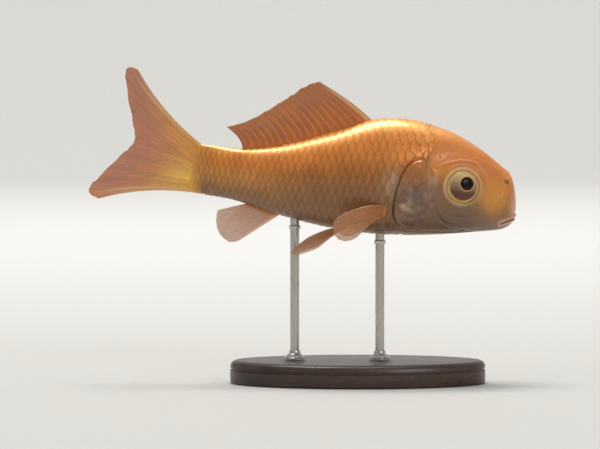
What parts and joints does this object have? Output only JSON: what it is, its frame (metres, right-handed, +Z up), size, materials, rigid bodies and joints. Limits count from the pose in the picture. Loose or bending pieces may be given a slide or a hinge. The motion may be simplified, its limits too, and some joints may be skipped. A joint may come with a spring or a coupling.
{
  "type": "goldfish",
  "caption": "Still life-size model of a young common goldfish, swimming slightly nose down, on a flat oval base with two short rods.",
  "frame": {"origin": "middle of the flat underside of the stand's base, on the floor", "axes": "+X the way the fish faces, +Y the fish's left, +Z up"},
  "size_m": [0.0946, 0.03, 0.0696],
  "materials": {
    "skin": "wet orange-gold scales",
    "gill_cover": "silvery brown, satin",
    "eye": "gloss",
    "fin": "thin translucent membrane with rays",
    "stand_wood": "dark satin lacquer",
    "stand_metal": "satin"
  },
  "bodies": {
    "root": {"head": "skin", "lower_jaw": "skin", "gill_cover_left": "gill_cover", "gill_cover_right": "gill_cover", "eye_left": "eye", "eye_right": "eye", "trunk": "skin", "tail_stalk": "skin", "dorsal_fin": "fin", "anal_fin": "fin", "tail_fin_upper_lobe": "fin", "tail_fin_lower_lobe": "fin", "pectoral_fin_left": "fin", "pectoral_fin_right": "fin", "pelvic_fin_left": "fin", "pelvic_fin_right": "fin", "stand_base": "stand_wood", "stand_rod_front": "stand_metal", "stand_rod_rear": "stand_metal"}
  },
  "joints": []
}
